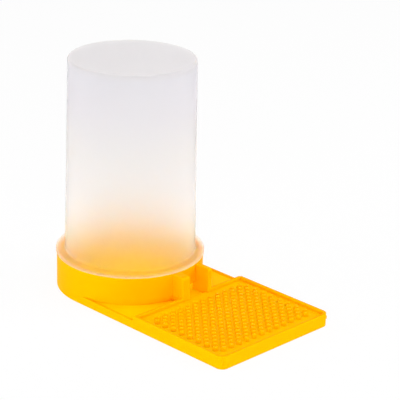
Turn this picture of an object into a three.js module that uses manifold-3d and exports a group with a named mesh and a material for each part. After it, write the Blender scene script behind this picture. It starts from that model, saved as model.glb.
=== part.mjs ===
// A drinking fountain for bees: an inverted reservoir cup stands in the collar of a moulded base,
// and water runs from the well under the cup through an outlet onto a studded drinking pad.
// Millimetres, +Z up. The pad points to -Y, and the origin is on the ground at the middle of the
// feeder's own box.

import * as THREE from "three";
import { mergeGeometries, mergeVertices } from "three/addons/utils/BufferGeometryUtils.js";
import Module from "manifold-3d";

const wasm = await Module();
wasm.setup();

// Plan of the base
const baseWidth = 92; // across the straight sides, and across the collar
const baseReach = 127; // from the collar's axis to the front end
const outletLength = 6.7; // from the collar to the raised drinking pad, which takes up the rest
const frontCornerRadius = 4.5;

// Heights of the base above the ground
const deckHeight = 4.6; // floor of the well, of the outlet and beside the collar
const sideRimHeight = 5.3; // rim round the deck
const trayHeight = 6.2; // floor between the studs
const padRimHeight = 8.4; // rim round the pad, and the tops of the studs
const collarHeight = 22;
const doorwayHeight = 10.5; // top of the way from the well into the outlet

// Walls of the base
const floorThickness = 2;
const skirtWall = 2; // side walls, down to the ground
const rimWidth = 2;
const collarWall = 2.2;

// The outlet, a channel with a thick and a thin wall, beside the middle of the base
const outletWidth = 15.7; // clear width
const outletOffset = 7.2; // from the feeder's middle plane to the channel's
const thickWall = 6.1;
const thinWall = 3.2;
const outletCornerRadius = 2; // upper front corners of both walls
const coreWall = 1.9; // left round the hollow that opens under the thick wall

// The studs that bees stand on
const studRadius = 1.7; // at the foot
const studTopRadius = 1.35;
const studPitchAcross = 6.4; // within a row; every second row is shifted by half of it
const studPitchAlong = 6.9; // from a row to the next but one
const studEdgeGap = 2.6; // least gap from the studs to the rim

// The reservoir cup, mouth down
const flangeOverhang = 0.5; // past the collar's outside
const flangeThickness = 2.6;
const flangeTopRadius = 1.1; // of its upper edge
const flangeLowRadius = 0.4; // of its lower edge
const cupHeight = 125.6; // from the flange's underside to the closed top
const cupFootRadius = 40.9; // outside, just above the flange
const cupTopRadius = 39.4; // outside, at the closed top
const cupWall = 1.8;
const cupEdgeRadius = 1.6; // round the closed top
const cupFootFillet = 1.2; // where the wall rises from the flange
const waterDepth = 1.9; // over the tray's floor, set by the height of the mouth

// Clearances
const seatGap = 0.3; // between the flange and the collar
const neckClearance = 0.5; // between the neck and the collar's inside, all round
const overrun = 1; // how far a cutter reaches past what it cuts

// Facets
const circleSteps = 96;
const cornerSteps = 6;
const edgeSteps = 3; // on the cup's small radii
const studSteps = 8;

const collarRadius = baseWidth / 2;
const wellRadius = collarRadius - collarWall;
const flangeRadius = collarRadius + flangeOverhang;
const padBack = -(collarRadius + outletLength); // the pad's rear edge, from the collar's axis
const trayBack = padBack - rimWidth;
const outletLow = outletOffset - outletWidth / 2; // the channel's sides
const outletHigh = outletOffset + outletWidth / 2;
const seatHeight = collarHeight + seatGap;

// Closed triangles as a solid that can be joined and cut
function solidFrom(geometry) {
  geometry.deleteAttribute("normal");
  geometry.deleteAttribute("uv");
  const merged = mergeVertices(geometry);
  return new wasm.Manifold(
    new wasm.Mesh({
      numProp: 3,
      vertProperties: merged.attributes.position.array,
      triVerts: new Uint32Array(merged.index.array),
    }),
  );
}

// A solid's triangles as geometry that a mesh can show
function geometryFrom(solid) {
  const mesh = solid.getMesh();
  const geometry = new THREE.BufferGeometry();
  geometry.setAttribute("position", new THREE.BufferAttribute(mesh.vertProperties, 3));
  geometry.setIndex(new THREE.BufferAttribute(mesh.triVerts, 1));
  const flat = geometry.toNonIndexed();
  flat.computeVertexNormals();
  return flat;
}

// Points on an arc, both ends included
function arc(x, y, radius, from, to, steps) {
  const points = [];
  for (let i = 0; i <= steps; i++) {
    const angle = from + ((to - from) * i) / steps;
    points.push(new THREE.Vector2(x + radius * Math.cos(angle), y + radius * Math.sin(angle)));
  }
  return points;
}

// An upright wall round the outline, from one height to another
function prism(points, low, high) {
  const geometry = new THREE.ExtrudeGeometry(new THREE.Shape(points), {
    depth: high - low,
    bevelEnabled: false,
  });
  return solidFrom(geometry.translate(0, 0, low));
}

function disc(radius, low, high) {
  return prism(arc(0, 0, radius, 0, 2 * Math.PI, circleSteps).slice(0, -1), low, high);
}

function block(left, right, front, back, low, high) {
  const corners = [
    new THREE.Vector2(left, front),
    new THREE.Vector2(right, front),
    new THREE.Vector2(right, back),
    new THREE.Vector2(left, back),
  ];
  return prism(corners, low, high);
}

// The outline of the base, drawn in by the inset: half a circle behind, round corners in front
function footprint(inset) {
  const half = collarRadius - inset;
  const front = inset - baseReach;
  const corner = frontCornerRadius > inset ? frontCornerRadius - inset : 0;
  const right = half - corner;
  const turn = front + corner;
  const frontCorners = corner
    ? [
        ...arc(-right, turn, corner, Math.PI, 1.5 * Math.PI, cornerSteps),
        ...arc(right, turn, corner, 1.5 * Math.PI, 2 * Math.PI, cornerSteps),
      ]
    : [new THREE.Vector2(-half, front), new THREE.Vector2(half, front)];
  return [...arc(0, 0, half, 0, Math.PI, circleSteps / 2), ...frontCorners];
}

// The part of a solid in front of a line across the base
function inFrontOf(solid, line) {
  const reach = baseReach + overrun;
  return solid.intersect(block(-reach, reach, -reach, line, -overrun, collarHeight + overrun));
}

// Floors and the collar, still full below and inside
function bodyOfBase() {
  const deck = prism(footprint(0), 0, deckHeight);
  const rim = prism(footprint(0), 0, sideRimHeight).subtract(
    prism(footprint(skirtWall), -overrun, sideRimHeight + overrun),
  );
  const pad = inFrontOf(prism(footprint(0), 0, padRimHeight), padBack);
  const recess = inFrontOf(prism(footprint(rimWidth), trayHeight, padRimHeight + overrun), trayBack);
  const collar = disc(collarRadius, 0, collarHeight);
  return deck.add(rim).add(pad).subtract(recess).add(collar);
}

// One wall of the outlet, up to the inside of the pad's rear rim. It starts inside the collar,
// where the well is cut out of it later.
function outletWall(left, right) {
  const r = outletCornerRadius;
  const side = [
    new THREE.Vector2(0, 0),
    new THREE.Vector2(0, collarHeight),
    ...arc(trayBack + r, collarHeight - r, r, Math.PI / 2, Math.PI, cornerSteps),
    new THREE.Vector2(trayBack, 0),
  ];
  const geometry = new THREE.ExtrudeGeometry(new THREE.Shape(side), {
    depth: right - left,
    bevelEnabled: false,
  });
  // The profile is drawn along the base and upwards, so it is turned to stand across the base.
  geometry.rotateX(Math.PI / 2);
  geometry.rotateZ(Math.PI / 2);
  return solidFrom(geometry.translate(left, 0, 0));
}

// Staggered rows, so that each stud stands in the middle of its four neighbours; the corners stay free
function studs() {
  const stepAcross = studPitchAcross / 2;
  const stepAlong = studPitchAlong / 2;
  const front = rimWidth - baseReach;
  const halfAcross = collarRadius - rimWidth - studEdgeGap - studRadius;
  const halfAlong = (trayBack - front) / 2 - studEdgeGap - studRadius;
  const columns = 2 * Math.floor(halfAcross / stepAcross) + 1;
  const rows = 2 * Math.floor(halfAlong / stepAlong) + 1;
  const left = (-(columns - 1) * stepAcross) / 2;
  const first = (trayBack + front - (rows - 1) * stepAlong) / 2;
  const height = padRimHeight - trayHeight + floorThickness / 2;
  const pieces = [];
  for (let row = 0; row < rows; row++) {
    for (let column = (row + 1) % 2; column < columns; column += 2) {
      const stud = new THREE.CylinderGeometry(studTopRadius, studRadius, height, studSteps);
      stud.rotateX(Math.PI / 2);
      stud.translate(
        left + column * stepAcross, first + row * stepAlong, padRimHeight - height / 2);
      pieces.push(stud);
    }
  }
  return solidFrom(mergeGeometries(pieces));
}

function makeBase() {
  let base = bodyOfBase();
  base = base.add(outletWall(outletLow - thickWall, outletLow));
  base = base.add(outletWall(outletHigh, outletHigh + thinWall));

  // The well, the way out of it, and the gap in the pad's rear rim
  base = base.subtract(disc(wellRadius, deckHeight, collarHeight + overrun));
  base = base.subtract(block(outletLow, outletHigh, padBack, 0, deckHeight, doorwayHeight));
  const rimGap = block(
    outletLow, outletHigh, trayBack - overrun, padBack + overrun, trayHeight, padRimHeight + overrun);
  base = base.subtract(rimGap);

  // The hollow underside, with one wall thickness left everywhere
  base = base.subtract(prism(footprint(skirtWall), -overrun, deckHeight - floorThickness));
  const underPad = prism(footprint(skirtWall), -overrun, trayHeight - floorThickness);
  base = base.subtract(inFrontOf(underPad, trayBack));
  const core = block(
    outletLow - thickWall + coreWall, outletLow - coreWall,
    trayBack + coreWall, -collarRadius - coreWall / 2,
    -overrun, collarHeight - floorThickness);
  base = base.subtract(core);

  return geometryFrom(base.add(studs()));
}

// The cup turns round its own axis, with the flange's underside at zero height
function makeCup() {
  const neck = wellRadius - neckClearance;
  const mouth = trayHeight + waterDepth - seatHeight;
  const rim = flangeRadius - flangeTopRadius;
  const topCorner = cupTopRadius - cupEdgeRadius;
  const innerCorner = Math.max(cupEdgeRadius - cupWall / 2, 0);
  const ceiling = cupHeight - cupWall;
  const profile = [
    new THREE.Vector2(0, cupHeight),
    ...arc(topCorner, cupHeight - cupEdgeRadius, cupEdgeRadius, Math.PI / 2, 0, edgeSteps),
    ...arc(
      cupFootRadius + cupFootFillet, flangeThickness + cupFootFillet, cupFootFillet,
      Math.PI, 1.5 * Math.PI, edgeSteps),
    ...arc(rim, flangeThickness - flangeTopRadius, flangeTopRadius, Math.PI / 2, 0, edgeSteps),
    ...arc(
      flangeRadius - flangeLowRadius, flangeLowRadius, flangeLowRadius,
      0, -Math.PI / 2, edgeSteps - 1),
    new THREE.Vector2(neck, 0),
    new THREE.Vector2(neck, mouth),
    new THREE.Vector2(neck - cupWall, mouth),
    new THREE.Vector2(neck - cupWall, 0),
    new THREE.Vector2(cupFootRadius - cupWall, flangeThickness),
    ...arc(
      cupTopRadius - cupWall - innerCorner, ceiling - innerCorner, innerCorner,
      0, Math.PI / 2, edgeSteps - 1),
    new THREE.Vector2(0, ceiling),
  ];
  const geometry = new THREE.LatheGeometry(profile.reverse(), circleSteps);
  geometry.rotateX(Math.PI / 2);
  return geometryFrom(solidFrom(geometry));
}

const yellowPlastic = new THREE.MeshStandardMaterial({
  name: "yellow_plastic",
  color: 0xffb703,
  roughness: 0.45,
  metalness: 0,
});
const frostedPlastic = new THREE.MeshStandardMaterial({
  name: "frosted_plastic",
  color: 0xe9e7ea,
  roughness: 0.5,
  metalness: 0,
  transparent: true,
  opacity: 0.7,
});

const feederBase = new THREE.Mesh(makeBase(), yellowPlastic);
feederBase.name = "feeder_base";

const reservoirCup = new THREE.Mesh(makeCup(), frostedPlastic);
reservoirCup.name = "reservoir_cup";
reservoirCup.position.z = seatHeight;

// Both pieces stand on the collar's axis, which lies behind the middle of the feeder's box.
const feeder = new THREE.Group();
feeder.name = "bee_water_feeder";
feeder.add(feederBase, reservoirCup);
feeder.position.y = (baseReach - flangeRadius) / 2;

export default feeder;
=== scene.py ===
import math

import bpy
from mathutils import Matrix, Vector


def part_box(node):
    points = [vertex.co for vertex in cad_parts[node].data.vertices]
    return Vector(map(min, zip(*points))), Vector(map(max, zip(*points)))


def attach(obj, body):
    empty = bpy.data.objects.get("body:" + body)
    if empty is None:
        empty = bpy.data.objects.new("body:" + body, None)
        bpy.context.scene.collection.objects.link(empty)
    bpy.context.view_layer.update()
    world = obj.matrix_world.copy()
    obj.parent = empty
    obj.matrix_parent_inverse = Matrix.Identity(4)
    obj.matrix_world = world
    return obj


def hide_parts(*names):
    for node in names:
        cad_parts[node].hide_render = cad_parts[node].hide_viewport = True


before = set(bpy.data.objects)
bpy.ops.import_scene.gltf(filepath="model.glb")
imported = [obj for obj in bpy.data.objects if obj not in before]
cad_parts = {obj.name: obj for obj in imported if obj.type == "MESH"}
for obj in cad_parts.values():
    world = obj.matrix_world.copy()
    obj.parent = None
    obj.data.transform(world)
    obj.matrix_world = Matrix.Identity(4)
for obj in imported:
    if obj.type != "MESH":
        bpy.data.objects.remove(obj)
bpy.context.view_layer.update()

mm = 0.001
quarter = math.pi / 2

# The places that everything follows, in millimetres, read from the frame
baseLow, baseHigh = (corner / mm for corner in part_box("feeder_base"))
cupLow, cupHigh = (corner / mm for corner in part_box("reservoir_cup"))
halfWidth = (baseHigh.x - baseLow.x) / 2
flangeRadius = (cupHigh.x - cupLow.x) / 2
axisY = (cupHigh.y + cupLow.y) / 2
frontY = baseLow.y
print("frame read: base %.1f mm wide, cup axis at y %.2f mm" % (2 * halfWidth, axisY))


# Camera, lamps and floor

view = {
    "azimuth": -45.5,       # degrees, 0 looks along +Y
    "elevation": 21.03,
    "roll": 1.67,
    "distance": 958.6,      # mm from the point aimed at
    "aim": (-19.6, -39.4, 83.6),
    "lens": 149.4,          # on a 36 mm sensor
}


def outward(azimuth, elevation):
    a, e = math.radians(azimuth), math.radians(elevation)
    return Vector((math.sin(a) * math.cos(e), -math.cos(a) * math.cos(e), math.sin(e)))


def addCamera():
    a, r = math.radians(view["azimuth"]), math.radians(view["roll"])
    back = outward(view["azimuth"], view["elevation"])
    level = Vector((math.cos(a), math.sin(a), 0))
    upright = back.cross(level)
    right = level * math.cos(r) + upright * math.sin(r)
    up = upright * math.cos(r) - level * math.sin(r)
    place = (Vector(view["aim"]) + back * view["distance"]) * mm
    data = bpy.data.cameras.new("photoCamera")
    data.sensor_width = 36
    data.lens = view["lens"]
    data.clip_end = 20
    camera = bpy.data.objects.new("photoCamera", data)
    camera.matrix_world = Matrix.Translation(place) @ Matrix((right, up, back)).transposed().to_4x4()
    bpy.context.scene.collection.objects.link(camera)
    bpy.context.scene.camera = camera


# Soft discs round the object, placed by azimuth (0 is in front of the pad) and elevation in degrees
lamps = {
    "left": {"from": (-125, 10), "power": 7.7, "throughCup": False},
    "front": {"from": (-45, 8), "power": 13.0, "throughCup": False},
    "right": {"from": (50, 25), "power": 7.4, "throughCup": False},
    "above": {"from": (0, 88), "power": 4.8, "throughCup": True},
}
lampDistance = 1300
lampSize = 1000
lightTarget = (0, 0, 60)
worldLight = 0.5            # on the object, from all round
floorWhite = 0.93           # share of plain white in what the eye sees of the floor
floorReach = 4000
floorDrop = 0.02            # below the ground face, so that the two never coincide


def addLamp(name, lamp):
    data = bpy.data.lights.new(name, "AREA")
    data.shape = "DISK"
    data.size = lampSize * mm
    data.energy = lamp["power"]
    light = bpy.data.objects.new(name, data)
    away = outward(*lamp["from"])
    light.location = (Vector(lightTarget) + away * lampDistance) * mm
    light.rotation_euler = away.to_track_quat("Z", "Y").to_euler()
    light.visible_transmission = lamp["throughCup"]
    bpy.context.scene.collection.objects.link(light)


# Shader trees: values are added and multiplied as Python expressions

class Wire:
    def __init__(self, tree, socket):
        self.tree, self.socket = tree, socket

    def sum(self, operation, one, two):
        return self.tree.add("ShaderNodeMath", {"operation": operation}, {0: one, 1: two})

    def __add__(self, other):
        return self.sum("ADD", self, other)

    def __mul__(self, other):
        return self.sum("MULTIPLY", self, other)

    def __sub__(self, other):
        return self.sum("SUBTRACT", self, other)

    def __rsub__(self, other):
        return self.sum("SUBTRACT", other, self)

    __radd__ = __add__
    __rmul__ = __mul__


class ShaderTree:
    def __init__(self, owner):
        owner.use_nodes = True
        self.nodes, self.links = owner.node_tree.nodes, owner.node_tree.links
        self.nodes.clear()

    def add(self, kind, settings=None, inputs=None, output=0):
        node = self.nodes.new(kind)
        for name, value in (settings or {}).items():
            if name == "stops":
                for spot, (position, color) in enumerate(value):
                    stops = node.color_ramp.elements
                    stop = stops[spot] if spot < len(stops) else stops.new(position)
                    stop.position, stop.color = position, color
            else:
                setattr(node, name, value)
        for name, value in (inputs or {}).items():
            if isinstance(value, Wire):
                self.links.new(value.socket, node.inputs[name])
            else:
                node.inputs[name].default_value = value
        return Wire(self, node.outputs[output]) if node.outputs else None


def whiteToTheEye(tree, share):
    # White for the camera, in reflections and through the frosted cup, but not as light on the object
    unseen = 1
    for ray in ("Is Camera Ray", "Is Glossy Ray", "Is Transmission Ray"):
        unseen = unseen * (1 - tree.add("ShaderNodeLightPath", output=ray))
    return (1 - unseen) * share


def addStage():
    world = bpy.data.worlds.new("studio")
    bpy.context.scene.world = world
    tree = ShaderTree(world)
    seen = whiteToTheEye(tree, 1 - worldLight)
    light = tree.add("ShaderNodeBackground", None, {"Color": (1, 1, 1, 1), "Strength": seen + worldLight})
    tree.add("ShaderNodeOutputWorld", None, {"Surface": light})

    paper = bpy.data.materials.new("whiteFloor")
    tree = ShaderTree(paper)
    plain = tree.add("ShaderNodeBsdfDiffuse", None, {"Color": (0.86, 0.86, 0.86, 1)})
    white = tree.add("ShaderNodeEmission", None, {"Color": (1, 1, 1, 1), "Strength": 1})
    look = tree.add("ShaderNodeMixShader", None, {0: whiteToTheEye(tree, floorWhite), 1: plain, 2: white})
    tree.add("ShaderNodeOutputMaterial", None, {"Surface": look})

    reach = floorReach * mm
    corners = [(-reach, -reach, 0), (reach, -reach, 0), (reach, reach, 0), (-reach, reach, 0)]
    floor = meshObject("floor", corners, [(0, 1, 2, 3)])
    floor.location.z = -floorDrop * mm
    floor.data.materials.append(paper)


# Meshes

def meshObject(name, points, faces):
    mesh = bpy.data.meshes.new(name)
    mesh.from_pydata(points, [], faces)
    mesh.update()
    piece = bpy.data.objects.new(name, mesh)
    bpy.context.scene.collection.objects.link(piece)
    return piece


def sweep(start, end, steps):
    return [start + (end - start) * i / steps for i in range(steps + 1)]


def arc(x, y, radius, start, end, steps):
    return [(x + radius * math.cos(t), y + radius * math.sin(t)) for t in sweep(start, end, steps)]


def loft(name, rings, closed=False):
    # Rings of as many points each, in millimetres, walled one to the next, with both ends capped
    count = len(rings[0])
    points = [Vector(p) * mm for ring in rings for p in ring]
    faces = []
    last = len(rings) if closed else len(rings) - 1
    for k in range(last):
        low, high = k * count, (k + 1) % len(rings) * count
        for i in range(count):
            j = (i + 1) % count
            faces.append((low + i, low + j, high + j, high + i))
    if not closed:
        faces.append(tuple(reversed(range(count))))
        faces.append(tuple(range(len(points) - count, len(points))))
    return meshObject(name, points, faces)


def prism(name, outline, low, high):
    return loft(name, [[(x, y, z) for x, y in outline] for z in (low, high)])


def slab(name, left, right, front, back, low, high, edge=0.0, steps=4):
    # A box, whose upper edges are rounded where it is given an edge radius
    profile = [(0, low)]
    if edge:
        profile += [(edge * (1 - math.cos(t)), high - edge + edge * math.sin(t))
                    for t in sweep(0, quarter, steps)]
    else:
        profile.append((0, high))
    rings = []
    for d, z in profile:
        west, east, south, north = left + d, right - d, front + d, back - d
        rings.append([(west, south, z), (east, south, z), (east, north, z), (west, north, z)])
    return loft(name, rings)


def revolve(name, profile, steps):
    # The profile runs from the axis to the axis, as distance and height in millimetres
    points, faces, rings = [], [], []
    for radius, height in profile:
        if radius == 0:
            rings.append([len(points)])
            points.append(Vector((0, axisY, height)) * mm)
            continue
        rings.append(list(range(len(points), len(points) + steps)))
        for i in range(steps):
            turn = 2 * math.pi * i / steps
            points.append(Vector((radius * math.cos(turn), axisY + radius * math.sin(turn), height)) * mm)
    for low, high in zip(rings, rings[1:]):
        for i in range(steps):
            j = (i + 1) % steps
            corners = [low[i % len(low)], low[j % len(low)], high[j % len(high)], high[i % len(high)]]
            faces.append(tuple(dict.fromkeys(corners)))
    return meshObject(name, points, faces)


def ringOf(name, profile, steps):
    # A closed profile turned round the cup's axis
    rings = []
    for i in range(steps):
        turn = 2 * math.pi * i / steps
        rings.append([(r * math.cos(turn), axisY + r * math.sin(turn), z) for r, z in profile])
    return loft(name, rings, closed=True)


def combine(piece, tool, operation):
    step = piece.modifiers.new("step", "BOOLEAN")
    step.operation = operation
    step.solver = "EXACT"
    step.object = tool
    bake(piece)
    bpy.data.objects.remove(tool)


def bake(piece):
    # The modifiers' result becomes the piece's own mesh
    graph = bpy.context.evaluated_depsgraph_get()
    mesh = bpy.data.meshes.new_from_object(piece.evaluated_get(graph))
    piece.modifiers.clear()
    piece.data = mesh


def smoothEdges(piece, angle=38):
    piece.data.shade_smooth()
    piece.data.set_sharp_from_angle(angle=math.radians(angle))
    weigh = piece.modifiers.new("weigh", "WEIGHTED_NORMAL")
    weigh.keep_sharp = True
    bake(piece)


# The base

base = {
    "padLength": 74.3,
    "cornerRadius": 4.5,
    "deck": 4.6,            # heights above the ground
    "sideRim": 5.3,
    "tray": 6.2,
    "padRim": 8.4,
    "doorway": 10.5,
    "floor": 2.0,           # thicknesses
    "skirt": 2.0,
    "rim": 2.0,
    "collarWall": 2.2,
    "edge": 0.45,           # rounding of the rims
    "edgeSteps": 4,
    "stepLength": 2.6,      # over which the side rim rises to the pad's
    "riseSteps": 12,
    "cornerSteps": 8,
    "wallStops": (10, 20),  # plain points of the side wall, before the collar's axis and the tray's back
    "collarLap": 0.5,       # how far the side wall runs on behind the collar's axis
    "outlet": (-0.65, 15.05),   # the channel's two sides along X
    "thickWall": 6.1,
    "thinWall": 3.2,
    "outletCorner": 2.0,
    "outletSteps": 8,
    "outletLap": 3,         # how far the outlet's walls reach back past the collar's inner face
    "bevelShare": 0.3,      # of the edge, where the outlet walls' bevel has its middle points
    "coreWall": 1.9,
    "overrun": 1,           # of cuts and buried feet past the faces that they meet
    # painted light and shade per face, from 0 for the shaded colour to 1 for the lit colour
    "thinness": {"rims": 0.0, "walls": 0.36, "well": 1.0, "deck": 0.95, "tray": 0.68},
    "near": 0.05,           # mm within which a face counts as lying on a floor or in the well
    "level": 0.99,          # upward share of a floor's normal
    "facingUp": 0.7,        # upward share of a rim's normal
    "circleSteps": 192,
}
padBack = frontY + base["padLength"]
trayBack = padBack - base["rim"]
wellRadius = halfWidth - base["collarWall"]


def sidePath():
    # The outer wall's line, from the collar's left side round the front to its right side,
    # as places and the way out of the wall at each
    r, step = base["cornerRadius"], base["stepLength"]
    behind, ahead = base["wallStops"]
    end = padBack - step / 2
    ys = [axisY + base["collarLap"], axisY - behind, padBack + step]
    for i in range(base["riseSteps"] + 1):
        ys.append(end + step * (1 - i / base["riseSteps"]))
    ys += [trayBack - ahead, frontY + r]
    left = [(-halfWidth, y, -1, 0) for y in ys]
    for i in range(1, base["cornerSteps"] + 1):
        t = math.pi + quarter * i / base["cornerSteps"]
        nx, ny = math.cos(t), math.sin(t)
        left.append((-halfWidth + r + r * nx, frontY + r + r * ny, nx, ny))
    right = [(-x, y, -nx, ny) for x, y, nx, ny in reversed(left)]
    return left + right


def rise(y):
    # How far the side rim has risen to the pad's, from 0 to 1
    t = (padBack + base["stepLength"] / 2 - y) / base["stepLength"]
    t = min(max(t, 0), 1)
    return t * t * (3 - 2 * t)


def sideWall():
    wall, edge, steps = base["skirt"], base["edge"], base["edgeSteps"]
    rings = []
    for x, y, nx, ny in sidePath():
        top = base["sideRim"] + (base["padRim"] - base["sideRim"]) * rise(y)
        outline = [(wall, 0)]
        outline += [(edge + edge * math.sin(t), edge - edge * math.cos(t))
                    for t in sweep(0, -quarter, steps)]
        outline += [(edge - edge * math.cos(t), top - edge + edge * math.sin(t))
                    for t in sweep(0, quarter, steps)]
        outline += [(wall - edge + edge * math.sin(t), top - edge + edge * math.cos(t))
                    for t in sweep(0, quarter, steps)]
        rings.append([(x - nx * d, y - ny * d, z) for d, z in outline])
    return loft("feederBase", rings)


def collarRing():
    edge, steps, top = base["edge"], base["edgeSteps"], baseHigh.z
    profile = [(wellRadius, 0), (halfWidth - edge, 0)]
    profile += arc(halfWidth - edge, edge, edge, -quarter, 0, steps)[1:]
    profile += arc(halfWidth - edge, top - edge, edge, 0, quarter, steps)
    profile += arc(wellRadius + edge, top - edge, edge, quarter, math.pi, steps)
    return ringOf("collar", profile, base["circleSteps"])


def footprint(inset, front):
    # The base's outline, drawn in, cut off straight at the front line
    half = halfWidth - inset
    return arc(0, axisY, half, 0, math.pi, base["circleSteps"] // 2) + [(-half, front), (half, front)]


def outletWall(name, left, right):
    r, top, edge = base["outletCorner"], baseHigh.z, base["edge"]
    buried, foot = axisY - wellRadius + base["outletLap"], base["deck"] - base["overrun"]
    side = [(buried, foot), (buried, top)]
    side += arc(trayBack + r, top - r, r, quarter, math.pi, base["outletSteps"])
    side += [(trayBack, foot)]
    bevel = edge * base["bevelShare"]
    rings = []
    for x, inset in ((left, edge), (left + bevel, bevel), (left + edge, 0),
                     (right - edge, 0), (right - bevel, bevel), (right, edge)):
        ring = []
        for y, z in side:
            nearTop = z > base["deck"]
            ring.append((x, y + (inset if y < trayBack + r else 0), z - (inset if nearTop else 0)))
        rings.append(ring)
    return loft(name, rings)


def makeBase():
    wall, over, core = base["skirt"], base["overrun"], base["coreWall"]
    middle, joint = wall / 2, padBack - base["rim"] / 2
    deck, tray, thick = base["deck"], base["tray"], base["floor"]
    low, high = base["outlet"]
    thickSide, thinSide = low - base["thickWall"], high + base["thinWall"]
    top, inside = baseHigh.z, halfWidth - wall
    shell = sideWall()
    joins = [
        prism("deck", footprint(middle, joint), deck - thick, deck),
        slab("tray", middle - halfWidth, halfWidth - middle, frontY + middle, joint, tray - thick, tray),
        slab("rearRim", middle - halfWidth, halfWidth - middle, trayBack, padBack,
             deck - thick, base["padRim"], base["edge"]),
        collarRing(),
        outletWall("thickWall", thickSide, low),
        outletWall("thinWall", high, thinSide),
    ]
    cuts = [
        revolve("well", [(0, deck), (wellRadius, deck), (wellRadius, top + over), (0, top + over)],
                base["circleSteps"]),
        slab("doorway", low, high, padBack, axisY, deck, base["doorway"]),
        slab("rimGap", low, high, trayBack - over, padBack + over, tray, top),
        prism("under", footprint(wall, joint), -over, deck - thick),
        slab("underPad", -inside, inside, frontY + wall, trayBack, -over, tray - thick),
        slab("underStep", -inside, inside, frontY + wall, axisY, -over, deck - thick),
        slab("core", thickSide + core, low - core, trayBack + core, axisY - halfWidth - core / 2,
             -over, top - thick),
    ]
    for tool in joins:
        combine(shell, tool, "UNION")
    for tool in cuts:
        combine(shell, tool, "DIFFERENCE")
    smoothEdges(shell)
    markPaintedLight(shell, basePaintedLight)
    shell.data.materials.clear()
    return shell


# Writes each face's share of painted light, from the shaded colour at 0 to the lit colour at 1
def markPaintedLight(piece, thinness):
    mark = piece.data.attributes.new("thinness", "FLOAT", "FACE")
    for face in piece.data.polygons:
        mark.data[face.index].value = thinness(face)


def basePaintedLight(face):
    # Painted light and shade: the well and the floors get the lit colour for light that comes through them,
    # the walls' sides some of it, and the rims seen from above the shaded colour
    if math.hypot(face.center.x / mm, face.center.y / mm - axisY) < wellRadius + base["near"]:
        return base["thinness"]["well"]
    if face.normal.z > base["level"]:
        for floor in ("deck", "tray"):
            if abs(face.center.z / mm - base[floor]) < base["near"]:
                return base["thinness"][floor]
    return base["thinness"]["rims" if face.normal.z > base["facingUp"] else "walls"]


# The studs, in two grids made by geometry nodes

studs = {
    "radius": 1.7,
    "topRadius": 1.35,
    "across": 6.4,          # within a row; every second row is shifted by half of it
    "along": 6.9,           # from a row to the next but one
    "edgeGap": 2.6,
    "sunk": 0.3,
    "steps": 14,
    # painted light on the studs, a share between the shaded and the lit colour that lightens their shade
    "thinness": 0.31,
}


def studRows():
    # Counts and sizes of the two grids that the staggered rows fall into, and their middle;
    # the corners stay free
    halfAcross = halfWidth - base["rim"] - studs["edgeGap"] - studs["radius"]
    front = frontY + base["rim"]
    halfAlong = (trayBack - front) / 2 - studs["edgeGap"] - studs["radius"]
    columns = 2 * int(2 * halfAcross / studs["across"]) + 1
    rows = 2 * int(2 * halfAlong / studs["along"]) + 1
    middle = (trayBack + front) / 2
    grids = []
    for c, r in ((columns // 2 + 1, rows // 2), (columns // 2, rows // 2 + 1)):
        grids.append((c, r, (c - 1) * studs["across"] * mm, (r - 1) * studs["along"] * mm))
    return grids, middle


class NodeTree:
    def __init__(self, name):
        self.group = bpy.data.node_groups.new(name, "GeometryNodeTree")
        self.inputs = {}
        self.group.interface.new_socket("Geometry", in_out="OUTPUT", socket_type="NodeSocketGeometry")

    def named(self, name, kind, value):
        socket = self.group.interface.new_socket(name, in_out="INPUT", socket_type=kind)
        self.inputs[name] = (socket.identifier, value)

    def add(self, kind, links=None, values=None):
        node = self.group.nodes.new(kind)
        for name, value in (values or {}).items():
            node.inputs[name].default_value = value
        for name, sockets in (links or {}).items():
            for socket in sockets if isinstance(sockets, list) else [sockets]:
                self.group.links.new(socket, node.inputs[name])
        return node


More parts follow.
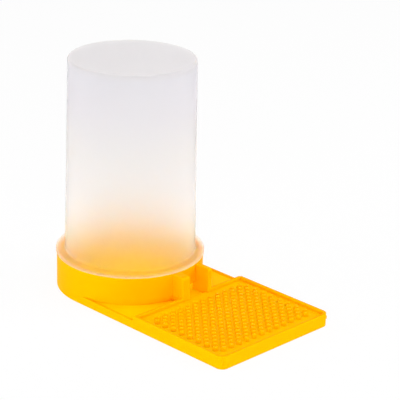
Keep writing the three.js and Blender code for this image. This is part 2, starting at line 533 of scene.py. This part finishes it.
def makeStuds(material):
    grids, middle = studRows()
    names = ("Inner", "Outer")
    tree = NodeTree("studRows")
    for name, (columns, rows, sizeX, sizeY) in zip(names, grids):
        tree.named(name + " Columns", "NodeSocketInt", columns)
        tree.named(name + " Rows", "NodeSocketInt", rows)
        tree.named(name + " Size X", "NodeSocketFloat", sizeX)
        tree.named(name + " Size Y", "NodeSocketFloat", sizeY)
    tree.named("Foot Radius", "NodeSocketFloat", studs["radius"] * mm)
    tree.named("Top Radius", "NodeSocketFloat", studs["topRadius"] * mm)
    tree.named("Height", "NodeSocketFloat", (base["padRim"] - base["tray"] + studs["sunk"]) * mm)
    tree.named("Material", "NodeSocketMaterial", material)
    given = tree.add("NodeGroupInput").outputs
    grid = {}
    for name in names:
        grid[name] = tree.add("GeometryNodeMeshGrid", {
            "Vertices X": given[name + " Columns"], "Vertices Y": given[name + " Rows"],
            "Size X": given[name + " Size X"], "Size Y": given[name + " Size Y"]})
    both = tree.add("GeometryNodeJoinGeometry", {"Geometry": [grid[name].outputs["Mesh"] for name in grid]})
    place = tree.add("GeometryNodeTransform", {"Geometry": both.outputs["Geometry"]}, {
        "Translation": (0, middle * mm, (base["tray"] - studs["sunk"]) * mm)})
    stud = tree.add("GeometryNodeMeshCone", {
        "Radius Bottom": given["Foot Radius"], "Radius Top": given["Top Radius"],
        "Depth": given["Height"]}, {"Vertices": studs["steps"]})
    copies = tree.add("GeometryNodeInstanceOnPoints", {
        "Points": place.outputs["Geometry"], "Instance": stud.outputs["Mesh"]})
    real = tree.add("GeometryNodeRealizeInstances", {"Geometry": copies.outputs["Instances"]})
    paint = tree.add("GeometryNodeSetMaterial", {
        "Geometry": real.outputs["Geometry"], "Material": given["Material"]})
    tree.add("NodeGroupOutput", {"Geometry": paint.outputs["Geometry"]})

    piece = meshObject("padStuds", [], [])
    grow = piece.modifiers.new("studs", "NODES")
    grow.node_group = tree.group
    for identifier, value in tree.inputs.values():
        grow[identifier] = value
    bake(piece)
    markPaintedLight(piece, lambda face: studs["thinness"])
    print("studs: %d" % sum(columns * rows for columns, rows, sizeX, sizeY in grids))
    return piece


# The cup

cup = {
    "flange": 2.6,
    "flangeTopEdge": 1.1,
    "flangeLowEdge": 0.4,
    "footRadius": 40.9,
    "topRadius": 39.4,
    "wall": 1.8,
    "edge": 1.6,
    "fillet": 1.2,
    "neckEdge": 0.3,
    "neckClearance": 0.5,
    "seatGap": 0.3,
    "arcSteps": 8,          # of the rounded top and the flange's upper edge
    "filletSteps": 6,
    "lowEdgeSteps": 4,
    "steps": 192,
}


def makeCup():
    seat = baseHigh.z + cup["seatGap"]
    neck = wellRadius - cup["neckClearance"]
    fillet, wall, thick, slant = cup["fillet"], cup["wall"], cup["flange"], cup["neckEdge"]
    upper, lower = cup["flangeTopEdge"], cup["flangeLowEdge"]
    many, some, few = cup["arcSteps"], cup["filletSteps"], cup["lowEdgeSteps"]
    top, outer, mouth = cupHigh.z, cup["edge"], cupLow.z
    inner, ceiling = outer - wall / 2, top - wall
    profile = [(0, top)]
    profile += arc(cup["topRadius"] - outer, top - outer, outer, quarter, 0, many)
    profile += arc(cup["footRadius"] + fillet, seat + thick + fillet, fillet, math.pi, 3 * quarter, some)
    profile += arc(flangeRadius - upper, seat + thick - upper, upper, quarter, 0, many)
    profile += arc(flangeRadius - lower, seat + lower, lower, 0, -quarter, few)
    profile += [(neck, seat), (neck, mouth + slant), (neck - slant, mouth)]
    profile += [(neck - wall + slant, mouth), (neck - wall, mouth + slant), (neck - wall, seat)]
    profile += [(cup["footRadius"] - wall, seat + thick)]
    profile += arc(cup["topRadius"] - wall - inner, ceiling - inner, inner, 0, quarter, some)
    profile += [(0, ceiling)]
    piece = revolve("reservoirCup", profile[::-1], cup["steps"])
    smoothEdges(piece)
    return piece


# Finishes

yellowFinish = {
    "thick": (1.0, 0.35, 0.0, 1),       # painted shade: the colour where the surface is taken as shaded, with little light coming through
    # painted light: the colour where light is taken as coming through the plastic
    "thin": (1.0, 0.57, 0.0, 1),
    "thinShare": 0.85,
    "cloudShare": 0.15,
    "cloudScale": 40.0,
    "grainScale": 2500.0,
    "grain": 0.05,
    "grainHeight": 0.1,                 # mm
    "roughness": 0.36,
    "roughnessShift": 0.08,
    "glow": 0.5,
    "glowColor": (1.0, 0.6, 0.1),
    "glowDepth": 4,                     # mm
    "gloss": 0.01,
    "glossColor": (1.0, 0.6, 0.0, 1),
}


def yellowPlastic():
    material = bpy.data.materials.new("yellowPlastic")
    finish = yellowFinish
    tree = ShaderTree(material)
    place = tree.add("ShaderNodeTexCoord", output="Object")
    clouds = tree.add("ShaderNodeTexNoise", None, {
        "Vector": place, "Scale": finish["cloudScale"], "Detail": 3.0})
    grain = tree.add("ShaderNodeTexNoise", None, {
        "Vector": place, "Scale": finish["grainScale"], "Detail": 2.0})
    # Painted light and shade: the base colour runs from the shaded colour to the lit one by each face's
    # share of painted light, with random clouds in tone
    thin = tree.add("ShaderNodeAttribute", {"attribute_name": "thinness"}, output="Fac")
    color = tree.add("ShaderNodeMix", {"data_type": "RGBA"}, {
        0: thin * finish["thinShare"] + clouds * finish["cloudShare"],
        "A": finish["thick"], "B": finish["thin"]}, output=2)
    bump = tree.add("ShaderNodeBump", None, {
        "Strength": finish["grain"], "Distance": finish["grainHeight"] * mm, "Height": grain})
    surface = tree.add("ShaderNodeBsdfPrincipled", None, {
        "Base Color": color,
        "Roughness": clouds * finish["roughnessShift"] + finish["roughness"],
        "Normal": bump,
        "Subsurface Weight": finish["glow"],
        "Subsurface Radius": finish["glowColor"],
        "Subsurface Scale": finish["glowDepth"] * mm,
        "IOR": 1.49,
        "Specular IOR Level": finish["gloss"],
        "Specular Tint": finish["glossColor"],
    })
    tree.add("ShaderNodeOutputMaterial", None, {"Surface": surface})
    return material


frostFinish = {
    "cloudScale": 25.0,
    "grainScale": 3000.0,
    "grain": 0.08,
    "grainHeight": 0.1,                 # mm
    "roughness": 0.77,
    "roughnessShift": 0.05,
    "bending": 1.26,                    # index of refraction, lower than the plastic's for the look
}

# What one wall of the cup lets through, by height in millimetres, with painted light and shade: a painted
# glow of the base's yellow near the flange and low on the cup, and painted shade darkening towards the top
frostPaintedLight = [
    (22.35, (1.0, 1.0, 1.0, 1)),
    (22.6, (1.0, 0.77, 0.5, 1)),        # painted glow: the flange's edge glows in the base's colour
    (23.7, (1.0, 0.9, 0.76, 1)),
    (24.4, (1.0, 1.0, 1.0, 1)),
    (32, (1.0, 1.0, 0.93, 1)),
    (52, (0.99, 0.985, 0.99, 1)),
    (73, (0.955, 0.945, 0.945, 1)),
    (93, (0.935, 0.925, 0.92, 1)),
    (120, (0.912, 0.9, 0.922, 1)),
    (143, (0.895, 0.89, 0.91, 1)),
    (147.5, (0.87, 0.855, 0.853, 1)),
]


def frostedPlastic():
    material = bpy.data.materials.new("frostedPlastic")
    finish = frostFinish
    tree = ShaderTree(material)
    place = tree.add("ShaderNodeTexCoord", output="Object")
    clouds = tree.add("ShaderNodeTexNoise", None, {
        "Vector": place, "Scale": finish["cloudScale"], "Detail": 2.0})
    grain = tree.add("ShaderNodeTexNoise", None, {
        "Vector": place, "Scale": finish["grainScale"], "Detail": 2.0})
    bump = tree.add("ShaderNodeBump", None, {
        "Strength": finish["grain"], "Distance": finish["grainHeight"] * mm, "Height": grain})
    share = tree.add("ShaderNodeSeparateXYZ", None, {"Vector": place}, output="Z") * (1 / (cupHigh.z * mm))
    # the painted light and shade of the cup, by height
    paintedTint = tree.add("ShaderNodeValToRGB", {
        "stops": [(height / cupHigh.z, color) for height, color in frostPaintedLight]}, {"Fac": share})
    surface = tree.add("ShaderNodeBsdfPrincipled", None, {
        "Base Color": paintedTint,
        "Roughness": clouds * finish["roughnessShift"] + finish["roughness"],
        "Normal": bump,
        "Transmission Weight": 1.0,
        "IOR": finish["bending"],
    })
    tree.add("ShaderNodeOutputMaterial", None, {"Surface": surface})
    return material


bpy.context.scene.view_settings.view_transform = "Standard"
addCamera()
for name, lamp in lamps.items():
    addLamp(name, lamp)
addStage()
print("stage ready")

yellow = yellowPlastic()
frosted = frostedPlastic()

feederBase = makeBase()
feederBase.data.materials.append(yellow)
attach(feederBase, "base")
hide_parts("feeder_base")
print("base ready: %d faces" % len(feederBase.data.polygons))

padStuds = makeStuds(yellow)
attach(padStuds, "base")

reservoirCup = makeCup()
reservoirCup.data.materials.append(frosted)
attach(reservoirCup, "cup")
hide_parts("reservoir_cup")
print("cup ready")
